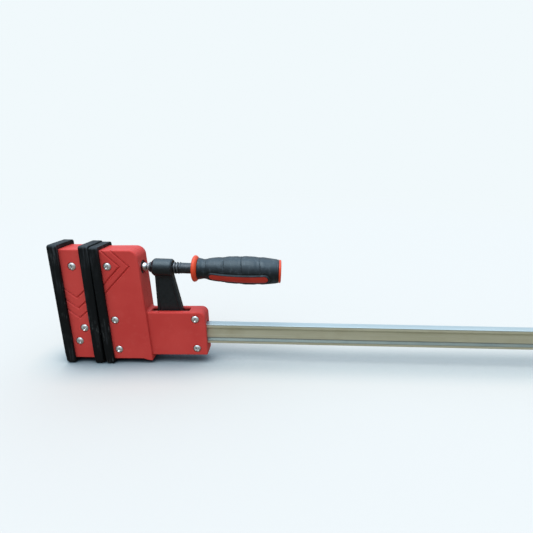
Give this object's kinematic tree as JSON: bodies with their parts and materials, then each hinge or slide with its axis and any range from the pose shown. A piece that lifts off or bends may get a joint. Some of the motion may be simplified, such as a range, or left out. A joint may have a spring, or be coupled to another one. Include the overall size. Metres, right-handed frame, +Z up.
{
  "type": "parallel jaw bar clamp",
  "caption": "Bar clamp with two tall parallel jaws on a steel rail: one jaw fixed, one sliding on a housed head with a lever arm, a threaded spindle and a soft-grip handle.",
  "frame": {"origin": "middle of the clamp's outline at the level of the surface that it stands on, jaws closed", "axes": "+X along the rail from the fixed jaw to the rail foot, +Z up, +Y across the jaws"},
  "size_m": [0.849, 0.0418, 0.175],
  "materials": {
    "red_housing": "moulded, satin, fine texture",
    "black_pad": "moulded, satin, scuffed",
    "rail_steel": "drawn and zinc plated, satin",
    "casting": "cast, oiled",
    "foot_plastic": "moulded, satin",
    "zinc_screw": "bright zinc plated",
    "black_steel": "black oxide, oiled",
    "bright_steel": "turned bright",
    "black_paint": "black powder coat, satin",
    "bush_brass": "turned",
    "grip_nylon": "moulded",
    "grip_rubber": "matt soft grip",
    "orange_plastic": "moulded, satin"
  },
  "bodies": {
    "rail_and_fixed_jaw": {"rail": "rail_steel", "fixed_shell_front": "red_housing", "fixed_shell_back": "red_housing", "fixed_jaw_casting": "casting", "outer_pad": "black_pad", "fixed_face_pad": "black_pad", "rail_foot": "foot_plastic", "foot_screw": "zinc_screw", "stop_pin": "black_steel", "fixed_screw_front_top": "zinc_screw", "fixed_screw_front_upper": "zinc_screw", "fixed_screw_front_lower": "zinc_screw", "fixed_screw_back_top": "zinc_screw", "fixed_screw_back_upper": "zinc_screw", "fixed_screw_back_lower": "zinc_screw"},
    "sliding_head": {"head_shell_front": "red_housing", "head_shell_back": "red_housing", "head_casting": "casting", "head_face_pad": "black_pad", "thrust_seat": "black_steel", "jaw_screw_front_top": "zinc_screw", "jaw_screw_front_middle": "zinc_screw", "jaw_screw_front_bottom": "zinc_screw", "jaw_screw_back_top": "zinc_screw", "jaw_screw_back_middle": "zinc_screw", "jaw_screw_back_bottom": "zinc_screw", "body_screw_front_body_top": "zinc_screw", "body_screw_front_body_bottom": "zinc_screw", "body_screw_back_body_top": "zinc_screw", "body_screw_back_body_bottom": "zinc_screw"},
    "arm": {"arm_lever": "black_paint", "thread_bush": "bush_brass"},
    "spindle": {"spindle": "black_steel", "spindle_tip": "bright_steel", "tip_clip": "bright_steel", "handle_collar": "orange_plastic", "grip_core": "grip_nylon", "grip_sleeve": "grip_rubber", "grip_inlay_front": "orange_plastic", "grip_inlay_back": "orange_plastic", "end_cap": "orange_plastic", "handle_pin": "bright_steel"}
  },
  "joints": [
    {"name": "head_slide", "type": "slide", "parent": "rail_and_fixed_jaw", "child": "sliding_head", "axis": [1, 0, 0], "range_m": [0, 0.61]},
    {"name": "spindle_turn", "type": "hinge", "parent": "sliding_head", "child": "spindle", "pos_m": [-0.30575, 0, 0.1418], "axis": [-0.9998, 0, 0.0195], "range_deg": [-540, 720]},
    {"name": "arm_travel", "type": "slide", "parent": "sliding_head", "child": "arm", "axis": [0.9998, 0, -0.0195], "range_m": [-0.00605, 0.00805]}
  ],
  "couplings": [
    {"joint": "arm_travel", "follows": "spindle_turn", "m_per_rad": 0.00063662}
  ]
}
